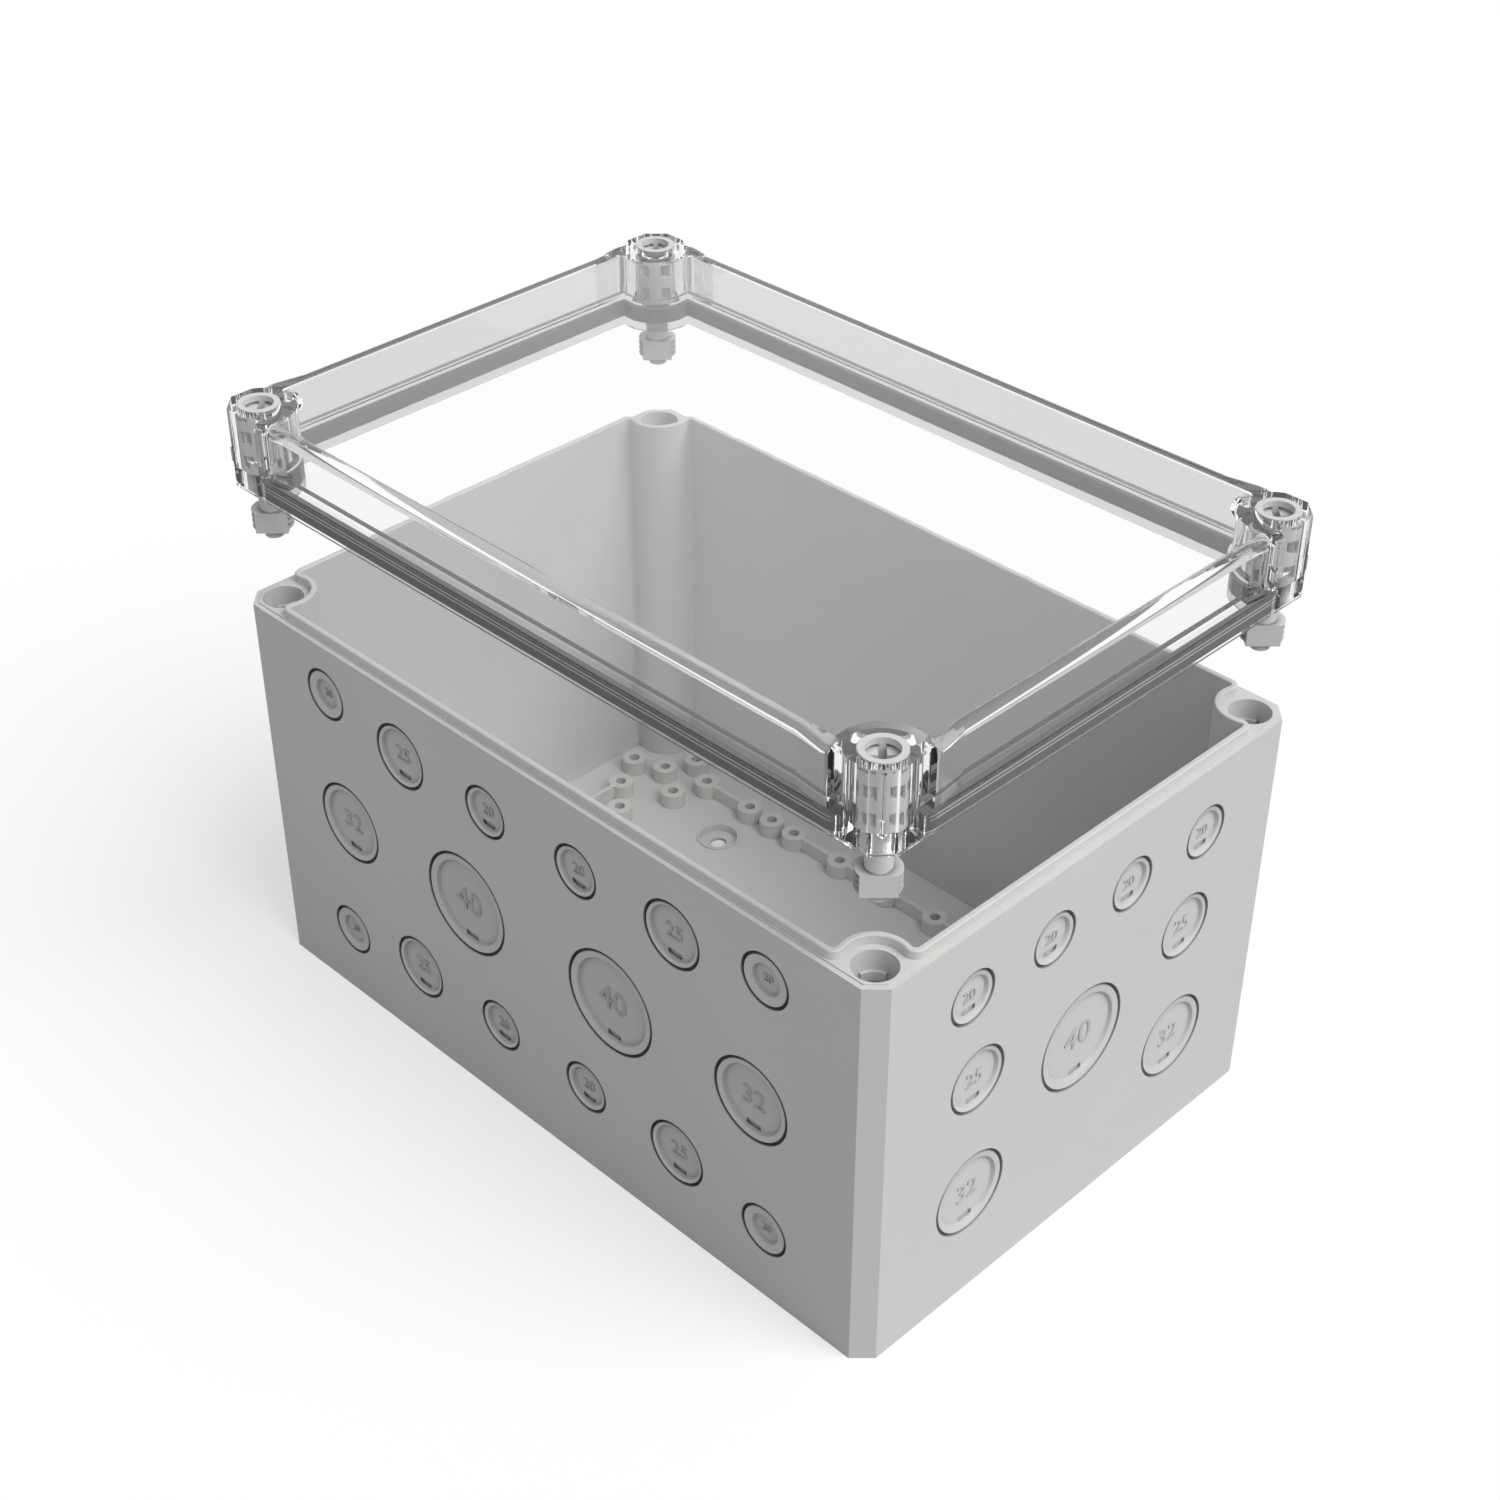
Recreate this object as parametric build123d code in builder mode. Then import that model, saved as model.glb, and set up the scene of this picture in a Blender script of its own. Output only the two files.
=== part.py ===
from build123d import *
import math
import os

# Polycarbonate enclosure with a clear lid, shown with the lid held above the base.
# Millimetres. The origin is at the middle of the base's underside, +Z is up,
# X runs along the long walls and the front wall faces -Y.

# Outside of the box
BOX_LENGTH = 300.0
BOX_WIDTH = 200.0
CORNER_CHAMFER = 6.1
BOLT_INSET = 10.0

# Base walls, floor and rim
RIM_HEIGHT = 153.2
BASE_WALL = 4.6
BASE_FLOOR = 4.0
SHOULDER_INSET = 1.85
SHOULDER_STEP = 0.4
TONGUE_INSET = 2.5
TONGUE_HEIGHT = 3.6
TONGUE_CHAMFER = 0.35
TONGUE_SCALLOP = 9.8
TONGUE_BLEND = 3.4

# Bolt sockets in the base's corner columns, with the lugs that the turned bolts lock under
SOCKET_DIAMETER = 14.4
SOCKET_FLOOR = 130.0
LUG_REACH = 1.0
LUG_THICKNESS = 3.4
LUG_SWEEP = 70.0
LUG_CLEARANCE = 0.3

# Screw bosses, their webs and the wall fixing recesses on the floor
BOSS_DIAMETER = 10.0
BOSS_HEIGHT = 6.0
BOSS_PILOT = 4.2
BOSS_PILOT_DEPTH = 8.0
WEB_THICKNESS = 2.0
ROW_Y = 75.0
ROW_X = [0.0, 25.0, 50.0, 62.5, 75.0, 100.0]
ROW_WEBS = [(0.0, 50.0), (75.0, 100.0)]
COLUMN_X = 125.0
COLUMN_Y = [0.0, 25.0, 50.0]
LOOSE_BOSSES = [(133.3, 65.3), (119.7, 70.0), (114.2, 82.8), (105.0, 60.5), (112.7, 38.0)]
FIXING_X = 75.0
FIXING_Y = 57.0
FIXING_BORE = 6.5
FIXING_RECESS = 15.4
FIXING_RIM = 0.8
FIXING_RIM_HEIGHT = 0.6
FIXING_FLOOR = 1.5

# Cable knock-outs: a score groove, a rounded ring inside it and a sunk disc with a pry slot
KNOCKOUT_MIDDLE = 81.4
SCORE_WIDTH = 1.2
SCORE_FLOOR = 0.6
SCORE_DEPTH = 2.2
RING_CROWN_DROP = 0.15
RING_INNER_DROP = 0.5
DISC_SLOPE = 0.8
DISC_DEPTH = 1.6
SLOT_LENGTH = 6.2
SLOT_WIDTH = 2.2
SLOT_DEPTH = 0.7
# Diameter over the groove and diameter of the disc of each kind
KNOCKOUT_KINDS = {
    "small": (20.0, 13.6),
    "corner": (20.0, 10.0),
    "medium": (25.0, 18.8),
    "large": (32.0, 24.2),
    "extra": (40.0, 31.2),
}
# Kind, distance to either side of the wall's middle, and heights from the middle row
LONG_WALL_KNOCKOUTS = [
    ("corner", 106.0, [-52.0, 52.0]),
    ("medium", 66.0, [-46.0, 46.0]),
    ("small", 22.0, [-46.0, 46.0]),
    ("large", 100.0, [0.0]),
    ("extra", 36.0, [0.0]),
]
SHORT_WALL_KNOCKOUTS = [
    ("small", 19.0, [46.0]),
    ("small", 57.0, [46.0]),
    ("medium", 52.0, [10.0]),
    ("extra", 0.0, [-6.0]),
    ("large", 52.0, [-38.2]),
]

# Lid, measured up from the base's rim when the lid is closed
LID_LIFT = 47.0
LID_HEIGHT = 28.8
LID_PANEL = 3.0
LID_WALL_INSET = 2.0
LID_WALL = 2.6
LID_EDGE_FILLET = 3.0
LID_CEILING_CHAMFER = 2.0
SKIRT_HEIGHT = 7.2
SKIRT_SLOPE = 1.1
LEDGE_HEIGHT = 10.4
LEDGE_INSET = 6.5
LIP_INSET = 5.3
LIP_DROP = 2.2
SHOULDER_CLEARANCE = 0.1
GROOVE_INSET = 1.6
GROOVE_ROOF = 6.5

# Corner posts, ramps and troughs of the lid
POST_RADIUS = 10.9
POST_INNER_RADIUS = 12.6
POST_BLEND = 2.4
POST_BORE = 14.6
POST_SHOULDER = 6.7
SHAFT_BORE = 8.8
RAMP_START = 34.0
RAMP_END = 23.0
TROUGH_START = 20.7
TROUGH_INSET = 2.5
TROUGH_FLOOR = 12.6

# Gasket
GASKET_BOTTOM = 0.8
TONGUE_CLEARANCE = 0.2

# Lid bolts
HEAD_DIAMETER = 14.2
HEAD_PROUD = 0.2
HEAD_BORE = 10.1
HEAD_FLOOR = 1.7
DRIVE_DEPTH = 3.2
DRIVE_THICKNESS = 3.9
DRIVE_SLOT = 2.4
EYE_WIDTH = 6.0
EYE_HEIGHT = 1.1
WINDOW_WIDTH = 2.9
WINDOW_WEB = 1.2
WINDOW_BAND = 4.4
SHAFT_DIAMETER = 8.2
BLOCK_TOP_DROP = 10.8
BLOCK_HEIGHT = 7.8
BLOCK_DIAMETER = 14.1
BLOCK_THICKNESS = 8.8
RIDGE_COUNT = 4
RIDGE_PITCH = 2.07
RIDGE_BASE = 1.9
TURN_DIRECTION = 45.0
NUB_DIAMETER = 6.5
NUB_HEIGHT = 2.5

# Places that several pieces share
BOLT_X = BOX_LENGTH / 2 - BOLT_INSET
BOLT_Y = BOX_WIDTH / 2 - BOLT_INSET
BOLT_PLACES = {
    "lid_bolt_front_left": (-BOLT_X, -BOLT_Y),
    "lid_bolt_front_right": (BOLT_X, -BOLT_Y),
    "lid_bolt_back_left": (-BOLT_X, BOLT_Y),
    "lid_bolt_back_right": (BOLT_X, BOLT_Y),
}
SHOULDER_TOP = RIM_HEIGHT + SHOULDER_STEP
TONGUE_TOP = RIM_HEIGHT + TONGUE_HEIGHT
LID_RIM = RIM_HEIGHT + LID_LIFT
LID_TOP = LID_RIM + LID_HEIGHT
LID_SHOULDER = LID_RIM + POST_SHOULDER
HEAD_TOP = LID_TOP + HEAD_PROUD
HEAD_FLOOR_TOP = LID_SHOULDER + HEAD_FLOOR
BLOCK_TOP = LID_RIM - BLOCK_TOP_DROP
BLOCK_BOTTOM = BLOCK_TOP - BLOCK_HEIGHT


def all_quadrants(x, y):
    """The point and its mirror images in the other three quadrants, each once."""
    return sorted({(sx * x, sy * y) for sx in (-1, 1) for sy in (-1, 1)})


def box_outline(inset=0.0):
    """The box's chamfered outline, moved inwards."""
    with BuildSketch() as outline:
        Rectangle(BOX_LENGTH, BOX_WIDTH)
        chamfer(outline.vertices(), CORNER_CHAMFER)
        if inset:
            offset(amount=-inset, kind=Kind.INTERSECTION)
    return outline.sketch


def scalloped_outline(inset, scallop, blend):
    """A rectangle inset from the box, scalloped round the four bolts, with blended corners."""
    with BuildSketch() as outline:
        Rectangle(BOX_LENGTH - 2 * inset, BOX_WIDTH - 2 * inset)
        with Locations(*BOLT_PLACES.values()):
            Circle(scallop, mode=Mode.SUBTRACT)
        corner = BOLT_INSET
        with Locations(*all_quadrants(BOX_LENGTH / 2 - corner / 2, BOX_WIDTH / 2 - corner / 2)):
            Rectangle(corner, corner, mode=Mode.SUBTRACT)
        fillet(outline.vertices(), blend)
    return outline.sketch


def rim_outline(inset):
    """The line of the sealing tongue, moved to another inset from the box's outside."""
    with BuildSketch() as outline:
        add(scalloped_outline(TONGUE_INSET, TONGUE_SCALLOP, TONGUE_BLEND))
        if inset != TONGUE_INSET:
            offset(amount=TONGUE_INSET - inset, kind=Kind.ARC)
    return outline.sketch


def rim_ring(outer_inset, inner_inset):
    """The band between two of those lines."""
    with BuildSketch() as ring:
        add(rim_outline(outer_inset))
        add(rim_outline(inner_inset), mode=Mode.SUBTRACT)
    return ring.sketch


def knockout_cutter(kind):
    """What one knock-out takes out of a wall that faces +Z, with its slot towards -Y."""
    score_diameter, disc_diameter = KNOCKOUT_KINDS[kind]
    score = score_diameter / 2
    disc = disc_diameter / 2
    with BuildPart() as cutter:
        with BuildSketch(Plane.XZ):
            with BuildLine():
                Polyline(
                    (0, 0),
                    (score, 0),
                    (score, -SCORE_DEPTH),
                    (score - SCORE_FLOOR, -SCORE_DEPTH),
                    (score - SCORE_WIDTH, -RING_CROWN_DROP),
                    (disc + DISC_SLOPE, -RING_INNER_DROP),
                    (disc, -DISC_DEPTH),
                    (0, -DISC_DEPTH),
                    close=True,
                )
            make_face()
        revolve(axis=Axis.Z)
        if kind != "corner":
            with BuildSketch(Plane.XY.offset(-DISC_DEPTH)):
                with Locations((0, SLOT_WIDTH / 2 - disc)):
                    Rectangle(SLOT_LENGTH, SLOT_WIDTH)
            extrude(amount=-SLOT_DEPTH)
    return cutter.part


def wall_plane(turn):
    """The outer face of one wall at the middle row: turn 0 is the front, then anticlockwise."""
    reach = BOX_WIDTH / 2 if turn % 180 == 0 else BOX_LENGTH / 2
    along = Vector(1, 0, 0).rotate(Axis.Z, turn)
    out = Vector(0, -1, 0).rotate(Axis.Z, turn)
    return Plane(origin=out * reach + Vector(0, 0, KNOCKOUT_MIDDLE), x_dir=along, z_dir=out)


# Base
with BuildPart() as socket_lug:
    lug_bottom = BLOCK_TOP - LID_LIFT + LUG_CLEARANCE
    with BuildSketch(Plane.XZ):
        with Locations((SOCKET_DIAMETER / 2, lug_bottom + LUG_THICKNESS / 2)):
            Rectangle(2 * LUG_REACH, LUG_THICKNESS)
    revolve(axis=Axis.Z, revolution_arc=LUG_SWEEP)

with BuildPart() as base:
    with BuildSketch():
        add(box_outline())
    extrude(amount=RIM_HEIGHT)
    with BuildSketch(Plane.XY.offset(RIM_HEIGHT)):
        add(box_outline(SHOULDER_INSET))
    extrude(amount=SHOULDER_STEP)
    with BuildSketch(Plane.XY.offset(SHOULDER_TOP)):
        add(rim_outline(TONGUE_INSET))
    extrude(amount=TONGUE_TOP - SHOULDER_TOP)
    with BuildSketch(Plane.XY.offset(BASE_FLOOR)):
        add(rim_outline(BASE_WALL))
    extrude(amount=TONGUE_TOP - BASE_FLOOR, mode=Mode.SUBTRACT)
    chamfer(base.edges().group_by(Axis.Z)[-1], TONGUE_CHAMFER)

    with BuildSketch(Plane.XY.offset(BASE_FLOOR)):
        for x in ROW_X:
            with Locations(*all_quadrants(x, ROW_Y)):
                Circle(BOSS_DIAMETER / 2)
        for y in COLUMN_Y:
            with Locations(*all_quadrants(COLUMN_X, y)):
                Circle(BOSS_DIAMETER / 2)
        for place in LOOSE_BOSSES:
            with Locations(*all_quadrants(*place)):
                Circle(BOSS_DIAMETER / 2)
        for start, end in ROW_WEBS:
            with Locations(*all_quadrants((start + end) / 2, ROW_Y)):
                Rectangle(end - start, WEB_THICKNESS)
        with Locations((-COLUMN_X, 0), (COLUMN_X, 0)):
            Rectangle(WEB_THICKNESS, 2 * max(COLUMN_Y))
    extrude(amount=BOSS_HEIGHT)

    with BuildSketch(Plane.XY.offset(BASE_FLOOR)):
        with Locations(*all_quadrants(FIXING_X, FIXING_Y)):
            Circle(FIXING_RECESS / 2 + FIXING_RIM)
    extrude(amount=FIXING_RIM_HEIGHT)
    with Locations(*[(x, y, BASE_FLOOR + FIXING_RIM_HEIGHT) for x, y in all_quadrants(FIXING_X, FIXING_Y)]):
        CounterBoreHole(
            radius=FIXING_BORE / 2,
            counter_bore_radius=FIXING_RECESS / 2,
            counter_bore_depth=BASE_FLOOR + FIXING_RIM_HEIGHT - FIXING_FLOOR,
        )

    boss_places = [place for x in ROW_X for place in all_quadrants(x, ROW_Y)]
    boss_places += [place for y in COLUMN_Y for place in all_quadrants(COLUMN_X, y)]
    boss_places += [place for loose in LOOSE_BOSSES for place in all_quadrants(*loose)]
    with Locations(*[(x, y, BASE_FLOOR + BOSS_HEIGHT) for x, y in boss_places]):
        Hole(radius=BOSS_PILOT / 2, depth=BOSS_PILOT_DEPTH)

    with BuildSketch(Plane.XY.offset(SOCKET_FLOOR)):
        with Locations(*BOLT_PLACES.values()):
            Circle(SOCKET_DIAMETER / 2)
    extrude(amount=SHOULDER_TOP - SOCKET_FLOOR, mode=Mode.SUBTRACT)
    lug_turns = [side - TURN_DIRECTION - LUG_SWEEP / 2 for side in (0, 180)]
    with Locations(*[Location((x, y, 0), (0, 0, turn)) for x, y in BOLT_PLACES.values() for turn in lug_turns]):
        add(socket_lug.part)

    cutters = {kind: knockout_cutter(kind) for kind in KNOCKOUT_KINDS}
    knockouts = [
        cutters[kind].moved(wall_plane(turn).location * Location((side, up, 0)))
        for turn, wall_knockouts in zip((0, 90, 180, 270), 2 * [LONG_WALL_KNOCKOUTS, SHORT_WALL_KNOCKOUTS])
        for kind, across, heights in wall_knockouts
        for side in sorted({-across, across})
        for up in heights
    ]
    add(knockouts, mode=Mode.SUBTRACT)

base.part.label = "base"


# Lid
def lid_wall_outline():
    """The lid wall's outline, stepping out along a ramp to the full outline at each corner."""
    half_length = BOX_LENGTH / 2
    half_width = BOX_WIDTH / 2
    with BuildSketch() as outline:
        Rectangle(BOX_LENGTH - 2 * LID_WALL_INSET, BOX_WIDTH - 2 * LID_WALL_INSET)
        for sx, sy in all_quadrants(1, 1):
            with BuildLine():
                Polyline(
                    (sx * (half_length - RAMP_START), sy * (half_width - LID_WALL_INSET)),
                    (sx * (half_length - RAMP_END), sy * half_width),
                    (sx * (half_length - CORNER_CHAMFER), sy * half_width),
                    (sx * half_length, sy * (half_width - CORNER_CHAMFER)),
                    (sx * half_length, sy * (half_width - RAMP_END)),
                    (sx * (half_length - LID_WALL_INSET), sy * (half_width - RAMP_START)),
                    close=True,
                )
            make_face()
    return outline.sketch


with BuildPart() as lid:
    with BuildSketch(Plane.XY.offset(LID_RIM)):
        add(box_outline())
    extrude(amount=SKIRT_HEIGHT)
    with BuildSketch(Plane.XY.offset(LID_RIM + SKIRT_HEIGHT)):
        add(box_outline())
    extrude(amount=SKIRT_SLOPE, taper=math.degrees(math.atan2(LID_WALL_INSET, SKIRT_SLOPE)))
    with BuildSketch(Plane.XY.offset(LID_RIM + SKIRT_HEIGHT)):
        add(lid_wall_outline())
    extrude(amount=LID_HEIGHT - SKIRT_HEIGHT)
    fillet(lid.edges().group_by(Axis.Z)[-1], LID_EDGE_FILLET)

    with BuildSketch(Plane.XY.offset(LID_RIM + TROUGH_FLOOR)):
        Rectangle(BOX_LENGTH, BOX_WIDTH)
        Rectangle(BOX_LENGTH - 2 * TROUGH_INSET, BOX_WIDTH - 2 * TROUGH_INSET, mode=Mode.SUBTRACT)
        Rectangle(BOX_LENGTH - 2 * TROUGH_START, BOX_WIDTH, mode=Mode.SUBTRACT)
        Rectangle(BOX_LENGTH, BOX_WIDTH - 2 * TROUGH_START, mode=Mode.SUBTRACT)
    extrude(amount=LID_HEIGHT - TROUGH_FLOOR, mode=Mode.SUBTRACT)
    with BuildSketch(Plane.XY.offset(LID_RIM + SKIRT_HEIGHT)):
        with Locations(*BOLT_PLACES.values()):
            Circle(POST_RADIUS)
        add(box_outline(), mode=Mode.INTERSECT)
    extrude(amount=LID_HEIGHT - SKIRT_HEIGHT)

    with BuildSketch(Plane.XY.offset(LID_RIM + LEDGE_HEIGHT)):
        add(scalloped_outline(LID_WALL_INSET + LID_WALL, POST_INNER_RADIUS, POST_BLEND))
    extrude(amount=LID_HEIGHT - LID_PANEL - LEDGE_HEIGHT, mode=Mode.SUBTRACT)
    ceiling_edges = lid.faces().filter_by(Axis.Z).group_by(Axis.Z)[-2].edges()
    chamfer(ceiling_edges, LID_CEILING_CHAMFER)

    with BuildSketch(Plane.XY.offset(LID_RIM)):
        add(rim_outline(LEDGE_INSET))
    extrude(amount=LEDGE_HEIGHT, mode=Mode.SUBTRACT)
    with BuildSketch(Plane.XY.offset(LID_RIM)):
        add(box_outline(GROOVE_INSET))
    extrude(amount=SHOULDER_STEP + SHOULDER_CLEARANCE, mode=Mode.SUBTRACT)
    with BuildSketch(Plane.XY.offset(LID_RIM)):
        add(rim_ring(GROOVE_INSET, LIP_INSET))
    extrude(amount=GROOVE_ROOF, mode=Mode.SUBTRACT)
    with BuildSketch(Plane.XY.offset(LID_RIM - LIP_DROP)):
        add(rim_ring(LIP_INSET, LEDGE_INSET))
    extrude(amount=LIP_DROP + GROOVE_ROOF)

    with BuildSketch(Plane.XY.offset(LID_SHOULDER)):
        with Locations(*BOLT_PLACES.values()):
            Circle(POST_BORE / 2)
    extrude(amount=LID_TOP - LID_SHOULDER, mode=Mode.SUBTRACT)
    with BuildSketch(Plane.XY.offset(LID_RIM)):
        with Locations(*BOLT_PLACES.values()):
            Circle(SHAFT_BORE / 2)
    extrude(amount=POST_SHOULDER, mode=Mode.SUBTRACT)

lid.part.label = "lid"

# Gasket, in the shape that it has when the base's tongue sits in it
with BuildPart() as lid_gasket:
    with BuildSketch(Plane.XY.offset(LID_RIM + GASKET_BOTTOM)):
        add(rim_ring(GROOVE_INSET, LIP_INSET))
    extrude(amount=GROOVE_ROOF - GASKET_BOTTOM)
    with BuildSketch(Plane.XY.offset(LID_RIM + GASKET_BOTTOM)):
        add(rim_ring(TONGUE_INSET - TONGUE_CLEARANCE, BASE_WALL + TONGUE_CLEARANCE))
    extrude(amount=TONGUE_HEIGHT + TONGUE_CLEARANCE - GASKET_BOTTOM, mode=Mode.SUBTRACT)

lid_gasket.part.label = "lid_gasket"

# Lid bolt, at the origin in plan and at its own height. Its locking block is a slab with
# rows of teeth on its two ends, the top row level with the slab's top.
with BuildPart() as locking_block:
    tooth_tip = BLOCK_DIAMETER / 2
    slab_end = math.sqrt(tooth_tip ** 2 - (BLOCK_THICKNESS / 2) ** 2)
    outline = [(0, BLOCK_TOP), (tooth_tip, BLOCK_TOP), (slab_end, BLOCK_TOP - RIDGE_BASE / 2)]
    for step in range(1, RIDGE_COUNT):
        middle = BLOCK_TOP - step * RIDGE_PITCH
        outline.append((slab_end, middle + RIDGE_BASE / 2))
        outline.append((tooth_tip, middle))
        outline.append((slab_end, middle - RIDGE_BASE / 2))
    outline.append((0, outline[-1][1]))
    with BuildSketch(Plane.XZ):
        with BuildLine():
            Polyline(*outline, close=True)
        make_face()
    revolve(axis=Axis.Z)
    with BuildSketch(Plane.XY.offset(BLOCK_BOTTOM)):
        Rectangle(BLOCK_DIAMETER, BLOCK_THICKNESS)
    extrude(amount=BLOCK_HEIGHT, mode=Mode.INTERSECT)
    with BuildSketch(Plane.XY.offset(BLOCK_BOTTOM)):
        Rectangle(2 * slab_end, BLOCK_THICKNESS)
    extrude(amount=BLOCK_HEIGHT)

with BuildPart() as bolt:
    with BuildSketch(Plane.XY.offset(LID_SHOULDER)):
        Circle(HEAD_DIAMETER / 2)
    extrude(amount=HEAD_TOP - LID_SHOULDER)
    with BuildSketch(Plane.XY.offset(HEAD_TOP)):
        Circle(HEAD_BORE / 2)
    extrude(amount=-(HEAD_TOP - HEAD_FLOOR_TOP), mode=Mode.SUBTRACT)
    with BuildSketch(Plane.XY.offset(HEAD_TOP - DRIVE_DEPTH)):
        Circle(HEAD_BORE / 2)
        Rectangle(HEAD_BORE, DRIVE_SLOT, rotation=TURN_DIRECTION, mode=Mode.SUBTRACT)
        Rectangle(DRIVE_SLOT, HEAD_BORE, rotation=TURN_DIRECTION, mode=Mode.SUBTRACT)
    extrude(amount=-DRIVE_THICKNESS)
    with BuildSketch(Plane.XY.offset(HEAD_TOP - DRIVE_DEPTH)):
        Rectangle(HEAD_DIAMETER, EYE_WIDTH)
        Rectangle(EYE_WIDTH, HEAD_DIAMETER)
    extrude(amount=EYE_HEIGHT, mode=Mode.SUBTRACT)
    window_height = (HEAD_TOP - DRIVE_DEPTH - DRIVE_THICKNESS - HEAD_FLOOR_TOP - WINDOW_BAND) / 2
    for row in range(2):
        with BuildSketch(Plane.XY.offset(HEAD_FLOOR_TOP + row * (window_height + WINDOW_BAND))):
            for side in (-1, 1):
                with Locations((0, side * (WINDOW_WIDTH + WINDOW_WEB) / 2)):
                    Rectangle(HEAD_DIAMETER, WINDOW_WIDTH)
                with Locations((side * (WINDOW_WIDTH + WINDOW_WEB) / 2, 0)):
                    Rectangle(WINDOW_WIDTH, HEAD_DIAMETER)
        extrude(amount=window_height, mode=Mode.SUBTRACT)
    with BuildSketch(Plane.XY.offset(BLOCK_TOP)):
        Circle(SHAFT_DIAMETER / 2)
    extrude(amount=LID_SHOULDER - BLOCK_TOP)
    add(locking_block.part, rotation=(0, 0, TURN_DIRECTION))
    with BuildSketch(Plane.XY.offset(BLOCK_BOTTOM)):
        Circle(NUB_DIAMETER / 2)
    extrude(amount=-NUB_HEIGHT)

os.makedirs("parts", exist_ok=True)
export_step(base.part, "parts/base.step")
export_step(lid.part, "parts/lid.step")
export_step(lid_gasket.part, "parts/lid_gasket.step")
for name, (x, y) in BOLT_PLACES.items():
    with BuildPart() as lid_bolt:
        with Locations((x, y, 0)):
            add(bolt.part)
    lid_bolt.part.label = name
    export_step(lid_bolt.part, f"parts/{name}.step")
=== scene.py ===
import math

import bmesh
import bpy
from mathutils import Matrix, Vector


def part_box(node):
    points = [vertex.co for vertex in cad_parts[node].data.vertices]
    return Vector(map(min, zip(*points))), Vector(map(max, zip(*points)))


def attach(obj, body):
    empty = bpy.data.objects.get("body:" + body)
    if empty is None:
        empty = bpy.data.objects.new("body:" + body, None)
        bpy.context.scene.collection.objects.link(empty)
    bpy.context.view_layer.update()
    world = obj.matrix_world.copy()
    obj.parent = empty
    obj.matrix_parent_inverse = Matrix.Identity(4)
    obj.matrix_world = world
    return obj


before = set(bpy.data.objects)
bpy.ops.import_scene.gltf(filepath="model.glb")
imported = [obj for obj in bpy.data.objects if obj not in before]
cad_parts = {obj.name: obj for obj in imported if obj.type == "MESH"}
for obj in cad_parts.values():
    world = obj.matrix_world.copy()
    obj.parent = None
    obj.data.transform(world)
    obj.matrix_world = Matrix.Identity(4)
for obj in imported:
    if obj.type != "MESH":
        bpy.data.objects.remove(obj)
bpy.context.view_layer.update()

MM = 0.001

# Camera, fitted to the corners of the box in the photograph
CAMERA_PLACE = Vector((0.49371, -0.49395, 0.60848))
CAMERA_AZIMUTH = math.radians(44.9865)
CAMERA_ELEVATION = math.radians(35.3434)
FOCAL_PIXELS = 2472.2
PHOTO_PIXELS = 1500.0
SENSOR_WIDTH = 36.0
CLIP_NEAR = 0.01
CLIP_FAR = 20.0

# Light, worked out from how bright the box's plain faces are in the photograph
KEY_TOWARDS = (0.62, 0.14, 0.78)
KEY_STRENGTH = 2.42
KEY_ANGLE = 50.0
SURROUND_LIGHT = 0.417
WHITE = (1.0, 1.0, 1.0, 1.0)

# Floor: how much light it gives back, and how strong its shadows show
FLOOR_SIZE = 30.0
FLOOR_ROUGHNESS = 0.9
FLOOR_BOUNCE = 0.41
FLOOR_SHADOW = 0.5

# The floor shows plain under the box, this far in from its outline
UNDER_BOX = 12.0 * MM

# Rays that have passed more than one wall of the lid see the floor and surround a little greyer
THROUGH_ONE_WALL = 2.5
SEEN_THROUGH_MORE = 0.74

# Noise lies mostly between these values
NOISE_MIDDLE = (0.3, 0.7)

# Opaque plastics: colour, roughness, size of the grain and strength of its relief
BASE_FINISH = ((0.66, 0.662, 0.65), 0.42, 0.35 * MM, 0.25)
BOLT_FINISH = ((0.66, 0.66, 0.655), 0.38, 0.3 * MM, 0.2)
GASKET_FINISH = ((0.18, 0.181, 0.183), 0.7, 0.5 * MM, 0.5)
PLASTIC_IOR = 1.5
PLASTIC_SPECULAR = 0.25
CLOUD_SCALE = 18.0
CLOUD_DETAIL = 3.0
CLOUD_TONES = (0.985, 1.015)
GRAIN_DETAIL = 2.0
GRAIN_RELIEF = 0.05 * MM
ROUGHNESS_PLAY = 0.05

# Clear polycarbonate, with a faint ripple
CLEAR_TINT = (0.97, 0.975, 0.972)
CLEAR_SHADOW_TINT = (0.92, 0.925, 0.922)
POLYCARBONATE_IOR = 1.585
RIPPLE_SCALE = 60.0
RIPPLE_DETAIL = 2.0
RIPPLE_ROUGHNESS = (0.0, 0.02)
RIPPLE_STRENGTH = 0.05
RIPPLE_RELIEF = 0.2 * MM

# Rays that have met this many surfaces pass straight through the clear plastic
DEEP_RAY = 5.5

# Soft edges of the opaque mouldings
EDGE_RADIUS = 0.3 * MM
EDGE_SAMPLES = 4

# Painted shade in creases, deeper on the long walls than on the short ones: the openness at
# which it is full, the openness at which it ends, and its tone
CREASE_REACH = 3.0 * MM
CREASE_SAMPLES = 8
SIDE_CREASE = (0.4, 0.96, 0.36)
END_CREASE = (0.4, 0.96, 0.62)
INNER_CREASE = (0.2, 0.6, 0.6)
BLOCK_CREASE = (0.45, 0.97, 0.3)
BLOCK_REACH = 11.0 * MM

# The outside of the walls, clear of the rim and of the chamfered corners
WALL_SKIN = 3.0 * MM
RIM_BAND = 5.0 * MM
CORNER_BAND = 10.0 * MM

# Painted shade on the step round a knock-out's disc and on the disc, on the long and the short
# walls
STEP_TOP = 0.55 * MM
STEP_FOOT = 1.55 * MM
SIDE_SUNK_SHADE = (0.72, 0.935)
END_SUNK_SHADE = (0.84, 1.0)
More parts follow.
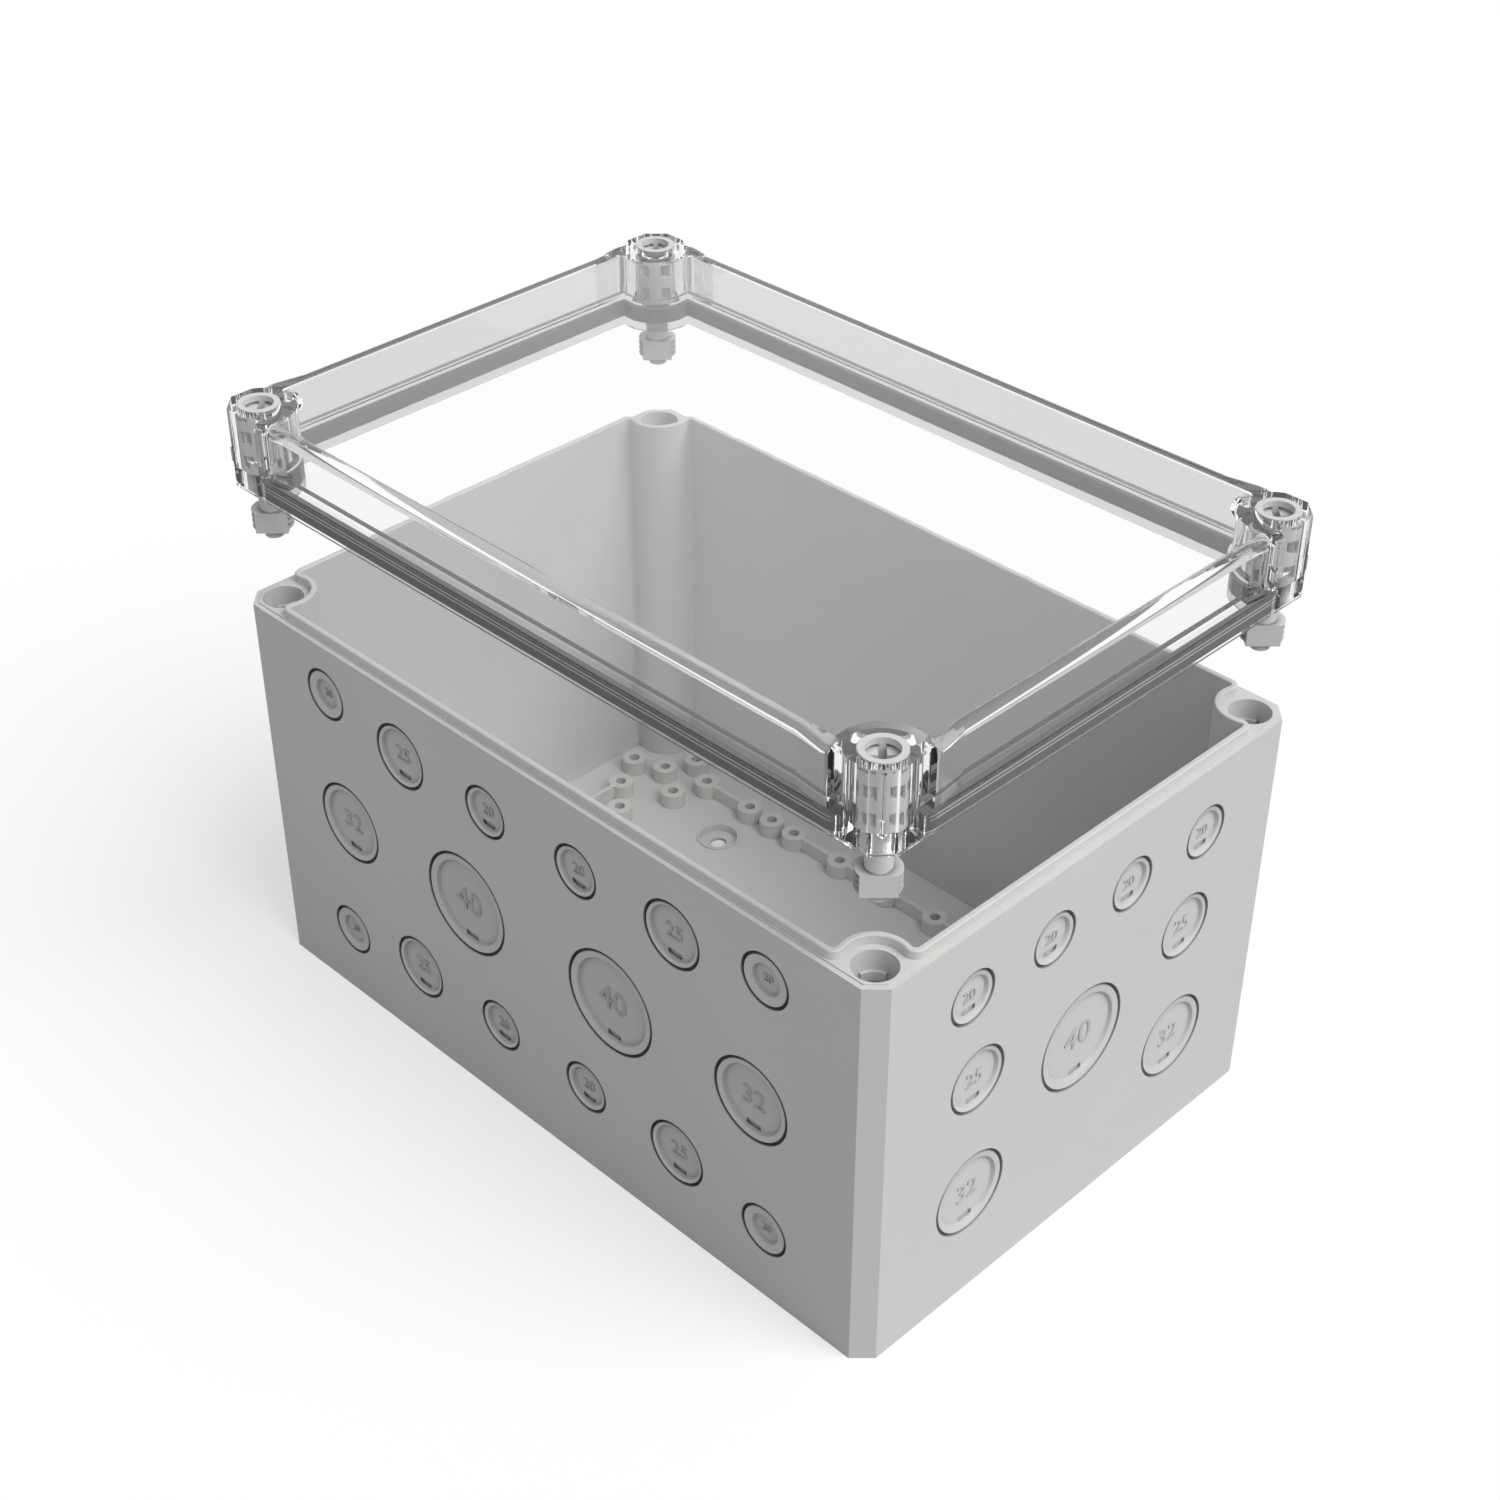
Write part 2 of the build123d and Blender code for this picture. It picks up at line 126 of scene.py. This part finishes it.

# Painted light on fine ribs along the middle of the gasket's outer face
RIB_PITCH = 1.3 * MM
RIB_SHARE = 0.4
RIB_LIGHT = 3.4
RIB_SKIN = 0.8 * MM
RIBBED_FROM = 0.45
RIBBED_TO = 0.88

# Knock-outs, as on the walls: kind, distance to either side, heights from the middle row
WALL_KNOCKOUT_MIDDLE = 81.4 * MM
DISC_DEPTH = 1.6 * MM
KNOCKOUT_KINDS = {
    "small": ("20", 13.6 * MM),
    "corner": ("20", 10.0 * MM),
    "medium": ("25", 18.8 * MM),
    "large": ("32", 24.2 * MM),
    "extra": ("40", 31.2 * MM),
}
LONG_WALL_KNOCKOUTS = [
    ("corner", 106.0, [-52.0, 52.0]),
    ("medium", 66.0, [-46.0, 46.0]),
    ("small", 22.0, [-46.0, 46.0]),
    ("large", 100.0, [0.0]),
    ("extra", 36.0, [0.0]),
]
SHORT_WALL_KNOCKOUTS = [
    ("small", 19.0, [46.0]),
    ("small", 57.0, [46.0]),
    ("medium", 52.0, [10.0]),
    ("extra", 0.0, [-6.0]),
    ("large", 52.0, [-38.2]),
]

# Numbers on the discs: their height as a share of the disc, and how far they stand and reach in
NUMBER_HEIGHT = 0.3
NUMBER_RELIEF = 0.4 * MM
NUMBER_SEAT = 0.05 * MM
DIGIT_SHARE = 0.7
CURVE_STEPS = 4
WELD_DISTANCE = 0.001 * MM


def material(name):
    """A material and its node tree, with nothing in it."""
    made = bpy.data.materials.new(name)
    made.use_nodes = True
    made.node_tree.nodes.clear()
    return made, made.node_tree


def node(tree, kind, inputs=None, **properties):
    """A shader node; each input is set to a plain value or linked to another node's socket."""
    made = tree.nodes.new(kind)
    for key, value in properties.items():
        setattr(made, key, value)
    for key, value in (inputs or {}).items():
        if isinstance(value, bpy.types.NodeSocket):
            tree.links.new(value, made.inputs[key])
        else:
            made.inputs[key].default_value = value
    return made


def surface(tree, shader):
    """Makes a shader the surface of the tree's material."""
    node(tree, "ShaderNodeOutputMaterial", {"Surface": shader})


def maths(tree, operation, first, second=0.0):
    """A maths node over two values, each a socket or a number."""
    return node(tree, "ShaderNodeMath", {0: first, 1: second}, operation=operation).outputs[0]


def blend(tree, factor, first, second):
    """The first value where the factor is none and the second where it is one."""
    return node(tree, "ShaderNodeMix", {0: factor, 2: first, 3: second}).outputs[0]


def mix_shaders(tree, factor, first, second):
    """The first shader where the factor is none and the second where it is one."""
    return node(tree, "ShaderNodeMixShader", {0: factor, 1: first, 2: second}).outputs[0]


def map_range(tree, value, source, target):
    """A value carried from the source range into the target range and held inside it."""
    inputs = {
        "Value": value,
        "From Min": source[0],
        "From Max": source[1],
        "To Min": target[0],
        "To Max": target[1],
    }
    return node(tree, "ShaderNodeMapRange", inputs).outputs["Result"]


def place_parts(tree):
    """The X, Y and Z of the object's own coordinates."""
    place = node(tree, "ShaderNodeTexCoord").outputs["Object"]
    return node(tree, "ShaderNodeSeparateXYZ", {0: place}).outputs


def grain(tree, scale, detail):
    """Noise in the object's own coordinates; scale is features per metre."""
    place = node(tree, "ShaderNodeTexCoord").outputs["Object"]
    inputs = {"Vector": place, "Scale": scale, "Detail": detail}
    return node(tree, "ShaderNodeTexNoise", inputs).outputs["Fac"]


def depth_from(tree, coordinate, reach):
    """How far a point lies in from the two faces at plus and minus reach."""
    return maths(tree, "SUBTRACT", reach, maths(tree, "ABSOLUTE", coordinate))


def openness(tree):
    """One on open faces, and less in grooves and corners."""
    made = node(
        tree,
        "ShaderNodeAmbientOcclusion",
        {"Distance": CREASE_REACH},
        samples=CREASE_SAMPLES,
        only_local=True,
    )
    return made.outputs["AO"]


def crease_shade(tree, opened, full, ended, tone):
    """Painted shade: one on open faces, falling to the tone in grooves and corners."""
    return map_range(tree, opened, (full, ended), (tone, 1.0))


def wall_shade(tree, opened, depth, creases, sunk_shades):
    """Painted shade of a wall's outside: its grooves, the steps round the discs, and the discs.
    """
    step, disc = sunk_shades
    on_step = maths(tree, "GREATER_THAN", depth, STEP_TOP)
    on_disc = maths(tree, "GREATER_THAN", depth, STEP_FOOT)
    # Painted shade: the step and the disc are darkened because they are sunk
    sunk_shade = blend(tree, on_disc, blend(tree, on_step, 1.0, step), disc)
    return maths(tree, "MULTIPLY", crease_shade(tree, opened, *creases), sunk_shade)


def base_shade(tree):
    """Painted shade of the base: strong in the knock-outs' grooves and mild everywhere else."""
    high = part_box("base")[1]
    along, across, up = place_parts(tree)
    from_end = depth_from(tree, along, high[0])
    from_side = depth_from(tree, across, high[1])
    depth = maths(tree, "MINIMUM", from_end, from_side)
    opened = openness(tree)
    side = wall_shade(tree, opened, depth, SIDE_CREASE, SIDE_SUNK_SHADE)
    end = wall_shade(tree, opened, depth, END_CREASE, END_SUNK_SHADE)
    outside = blend(tree, maths(tree, "LESS_THAN", from_end, from_side), side, end)
    below_rim = maths(tree, "LESS_THAN", up, high[2] - RIM_BAND)
    farther = maths(tree, "MAXIMUM", from_end, from_side)
    off_corner = maths(tree, "GREATER_THAN", farther, CORNER_BAND)
    skin = maths(tree, "MULTIPLY", maths(tree, "LESS_THAN", depth, WALL_SKIN), below_rim)
    skin = maths(tree, "MULTIPLY", skin, off_corner)
    return blend(tree, skin, crease_shade(tree, opened, *INNER_CREASE), outside)


def bolt_shade(tree):
    """Painted shade of the bolts: strong between the locking block's teeth and mild on the rest.
    """
    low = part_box("lid_bolt_front_left")[0]
    opened = openness(tree)
    on_block = maths(tree, "LESS_THAN", place_parts(tree)[2], low[2] + BLOCK_REACH)
    mild = crease_shade(tree, opened, *INNER_CREASE)
    return blend(tree, on_block, mild, crease_shade(tree, opened, *BLOCK_CREASE))


def gasket_shade(tree):
    """Painted shade of the gasket in its creases, with painted light on ribs along the middle of
    its outer face.
    """
    low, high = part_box("lid_gasket")
    height = high[2] - low[2]
    along, across, up = place_parts(tree)
    from_end = depth_from(tree, along, high[0])
    depth = maths(tree, "MINIMUM", from_end, depth_from(tree, across, high[1]))
    outer = maths(tree, "LESS_THAN", depth, RIB_SKIN)
    above = maths(tree, "GREATER_THAN", up, low[2] + RIBBED_FROM * height)
    below = maths(tree, "LESS_THAN", up, low[2] + RIBBED_TO * height)
    turn = maths(tree, "FRACT", maths(tree, "DIVIDE", up, RIB_PITCH))
    rib = maths(tree, "MULTIPLY", maths(tree, "LESS_THAN", turn, RIB_SHARE), outer)
    ribbed = maths(tree, "MULTIPLY", maths(tree, "MULTIPLY", above, below), rib)
    shade = crease_shade(tree, openness(tree), *INNER_CREASE)
    # Painted light: the rib stripes are made paler
    return maths(tree, "MULTIPLY", shade, blend(tree, ribbed, 1.0, RIB_LIGHT))


def moulded_plastic(name, colour, roughness, grain_size, bump, shade):
    """Opaque moulded plastic: soft edges, painted shade in creases, a fine grain and an even
    satin.
    """
    made, tree = material(name)
    clouds = map_range(tree, grain(tree, CLOUD_SCALE, CLOUD_DETAIL), NOISE_MIDDLE, CLOUD_TONES)
    # The colour's tone is random clouds times the painted shade
    tone = maths(tree, "MULTIPLY", clouds, shade(tree))
    tint = node(
        tree,
        "ShaderNodeMix",
        {0: 1.0, 6: (*colour, 1.0), 7: tone},
        data_type="RGBA",
        blend_type="MULTIPLY",
    )
    fine = grain(tree, 1.0 / grain_size, GRAIN_DETAIL)
    satin = (roughness - ROUGHNESS_PLAY, roughness + ROUGHNESS_PLAY)
    edges = node(tree, "ShaderNodeBevel", {"Radius": EDGE_RADIUS}, samples=EDGE_SAMPLES)
    relief = node(tree, "ShaderNodeBump", {
        "Strength": bump,
        "Distance": GRAIN_RELIEF,
        "Height": fine,
        "Normal": edges.outputs["Normal"],
    })
    shader = node(tree, "ShaderNodeBsdfPrincipled", {
        "Base Color": tint.outputs[2],
        "Roughness": map_range(tree, fine, NOISE_MIDDLE, satin),
        "IOR": PLASTIC_IOR,
        "Specular IOR Level": PLASTIC_SPECULAR,
        "Normal": relief.outputs["Normal"],
    })
    surface(tree, shader.outputs["BSDF"])
    return made


def clear_polycarbonate(name, tint, shadow_tint):
    """Clear moulded plastic that refracts, and lets plain light through to what it covers."""
    made, tree = material(name)
    ripple = grain(tree, RIPPLE_SCALE, RIPPLE_DETAIL)
    relief = node(tree, "ShaderNodeBump", {
        "Strength": RIPPLE_STRENGTH,
        "Distance": RIPPLE_RELIEF,
        "Height": ripple,
    })
    shader = node(tree, "ShaderNodeBsdfPrincipled", {
        "Base Color": (*tint, 1.0),
        "Roughness": map_range(tree, ripple, NOISE_MIDDLE, RIPPLE_ROUGHNESS),
        "IOR": POLYCARBONATE_IOR,
        "Transmission Weight": 1.0,
        "Normal": relief.outputs["Normal"],
    })
    through = node(tree, "ShaderNodeBsdfTransparent", {"Color": (*shadow_tint, 1.0)})
    path = node(tree, "ShaderNodeLightPath").outputs
    plain = maths(tree, "MAXIMUM", path["Is Shadow Ray"], path["Is Diffuse Ray"])
    deep = maths(tree, "GREATER_THAN", path["Ray Depth"], DEEP_RAY)
    plain = maths(tree, "MAXIMUM", plain, deep)
    surface(tree, mix_shaders(tree, plain, shader.outputs["BSDF"], through.outputs["BSDF"]))
    return made


def dress(name, finish):
    """Gives a CAD node its finish."""
    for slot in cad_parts[name].material_slots:
        slot.material = finish


def raised_number(digits, height):
    """A mesh of raised digits, centred, that stand on z = 0 and reach a little below it."""
    curve = bpy.data.curves.new("digits", "FONT")
    curve.body = digits
    curve.align_x = "CENTER"
    curve.align_y = "CENTER"
    curve.size = height / DIGIT_SHARE
    curve.extrude = (NUMBER_RELIEF + NUMBER_SEAT) / 2
    curve.resolution_u = CURVE_STEPS
    writing = bpy.data.objects.new("digits", curve)
    mesh = bpy.data.meshes.new_from_object(writing)
    middle = (0.0, 0.0, (NUMBER_RELIEF - NUMBER_SEAT) / 2)
    shape = bmesh.new()
    shape.from_mesh(mesh)
    bmesh.ops.remove_doubles(shape, verts=shape.verts, dist=WELD_DISTANCE)
    bmesh.ops.translate(shape, verts=shape.verts, vec=middle)
    shape.to_mesh(mesh)
    shape.free()
    bpy.data.objects.remove(writing)
    return mesh


def wall_place(turn, across, up):
    """Where a knock-out's disc lies: turn 0 is the front wall, then anticlockwise from above."""
    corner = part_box("base")[1]
    reach = corner[1] if turn % 180 == 0 else corner[0]
    facing = Matrix.Rotation(math.radians(turn), 4, "Z")
    upright = Matrix.Rotation(math.radians(90), 4, "X")
    middle = Matrix.Translation((0.0, 0.0, WALL_KNOCKOUT_MIDDLE))
    return middle @ facing @ upright @ Matrix.Translation((across, up, reach - DISC_DEPTH))


def knockout_numbers(name, turn, layout):
    """The plain size numbers on the discs of one wall, as one piece."""
    whole = bmesh.new()
    for kind, across, heights in layout:
        for side in sorted({-across, across}):
            for up in heights:
                number = numbers[kind].copy()
                number.transform(wall_place(turn, side * MM, up * MM))
                whole.from_mesh(number)
                bpy.data.meshes.remove(number)
    mesh = bpy.data.meshes.new(name)
    whole.to_mesh(mesh)
    whole.free()
    piece = bpy.data.objects.new(name, mesh)
    bpy.context.scene.collection.objects.link(piece)
    mesh.materials.append(base_plastic)
    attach(piece, "base")


def set_camera():
    """The photograph's own viewpoint, as a pinhole camera with no shift."""
    back = Vector((
        math.sin(CAMERA_AZIMUTH) * math.cos(CAMERA_ELEVATION),
        -math.cos(CAMERA_AZIMUTH) * math.cos(CAMERA_ELEVATION),
        math.sin(CAMERA_ELEVATION),
    ))
    right = Vector((math.cos(CAMERA_AZIMUTH), math.sin(CAMERA_AZIMUTH), 0.0))
    up = back.cross(right)
    lens = bpy.data.cameras.new("camera")
    lens.sensor_width = SENSOR_WIDTH
    lens.lens = FOCAL_PIXELS / PHOTO_PIXELS * SENSOR_WIDTH
    lens.clip_start = CLIP_NEAR
    lens.clip_end = CLIP_FAR
    camera = bpy.data.objects.new("camera", lens)
    turn = Matrix((right, up, back)).transposed().to_4x4()
    camera.matrix_world = Matrix.Translation(CAMERA_PLACE) @ turn
    bpy.context.scene.collection.objects.link(camera)
    bpy.context.scene.camera = camera


def soft_sun(name, towards, strength, angle):
    """A far, broad studio light; towards points from the object to the light."""
    lamp = bpy.data.lights.new(name, "SUN")
    lamp.energy = strength
    lamp.angle = math.radians(angle)
    made = bpy.data.objects.new(name, lamp)
    made.rotation_euler = Vector(towards).to_track_quat("Z", "Y").to_euler()
    bpy.context.scene.collection.objects.link(made)


def by_ray(tree, rays, value_else, value_then):
    """One value for the named kinds of ray and another for the rest."""
    path = node(tree, "ShaderNodeLightPath").outputs
    chosen = path[rays[0]]
    for kind in rays[1:]:
        chosen = maths(tree, "MAXIMUM", chosen, path[kind])
    return map_range(tree, chosen, (0.0, 1.0), (value_else, value_then))


def behind_walls(tree):
    """One, or a little less where the stage is seen through more than one clear wall."""
    path = node(tree, "ShaderNodeLightPath").outputs
    more = maths(tree, "GREATER_THAN", path["Transmission Depth"], THROUGH_ONE_WALL)
    return map_range(tree, more, (0.0, 1.0), (1.0, SEEN_THROUGH_MORE))


def beside_box(tree):
    """One on the floor around the box and none under it, where the fixing holes show it."""
    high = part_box("base")[1]
    along, across, up = place_parts(tree)
    ends = maths(tree, "LESS_THAN", depth_from(tree, along, high[0]), UNDER_BOX)
    sides = maths(tree, "LESS_THAN", depth_from(tree, across, high[1]), UNDER_BOX)
    return maths(tree, "MAXIMUM", ends, sides)


def set_floor():
    """A pale floor, which gives the object less light than it shows."""
    bpy.ops.mesh.primitive_plane_add(size=FLOOR_SIZE, location=(0, 0, 0))
    floor = bpy.context.object
    floor.name = "floor"
    made, tree = material("floor_paper")
    seen = ["Is Camera Ray", "Is Transmission Ray"]
    level = by_ray(tree, seen, FLOOR_BOUNCE, 1.0)
    shader = node(tree, "ShaderNodeBsdfPrincipled", {
        "Base Color": maths(tree, "MULTIPLY", level, behind_walls(tree)),
        "Roughness": FLOOR_ROUGHNESS,
        "Specular IOR Level": 0.0,
    })
    bright = node(tree, "ShaderNodeEmission", {"Strength": behind_walls(tree)})
    share = by_ray(tree, seen, 0.0, 1.0 - FLOOR_SHADOW)
    share = maths(tree, "MULTIPLY", share, beside_box(tree))
    surface(tree, mix_shaders(tree, share, shader.outputs["BSDF"], bright.outputs["Emission"]))
    floor.data.materials.append(made)


def set_surround():
    """A white surround, which lights the object less than it shows."""
    world = bpy.data.worlds.new("studio")
    world.use_nodes = True
    bpy.context.scene.world = world
    tree = world.node_tree
    seen = ["Is Camera Ray", "Is Transmission Ray", "Is Glossy Ray"]
    level = by_ray(tree, seen, SURROUND_LIGHT, 1.0)
    level = maths(tree, "MULTIPLY", level, behind_walls(tree))
    background = tree.nodes["Background"]
    background.inputs["Color"].default_value = WHITE
    tree.links.new(level, background.inputs["Strength"])


base_plastic = moulded_plastic("base_plastic", *BASE_FINISH, base_shade)
bolt_plastic = moulded_plastic("bolt_plastic", *BOLT_FINISH, bolt_shade)
gasket_rubber = moulded_plastic("gasket_rubber", *GASKET_FINISH, gasket_shade)
clear_plastic = clear_polycarbonate("clear_plastic", CLEAR_TINT, CLEAR_SHADOW_TINT)

dress("base", base_plastic)
dress("lid", clear_plastic)
dress("lid_gasket", gasket_rubber)
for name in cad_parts:
    if name.startswith("lid_bolt"):
        dress(name, bolt_plastic)

numbers = {
    kind: raised_number(digits, NUMBER_HEIGHT * disc)
    for kind, (digits, disc) in KNOCKOUT_KINDS.items()
}
knockout_numbers("numbers_front", 0, LONG_WALL_KNOCKOUTS)
knockout_numbers("numbers_right", 90, SHORT_WALL_KNOCKOUTS)
knockout_numbers("numbers_back", 180, LONG_WALL_KNOCKOUTS)
knockout_numbers("numbers_left", 270, SHORT_WALL_KNOCKOUTS)

set_camera()
set_floor()
set_surround()
soft_sun("key", KEY_TOWARDS, KEY_STRENGTH, KEY_ANGLE)

scene = bpy.context.scene
scene.view_settings.view_transform = "Standard"
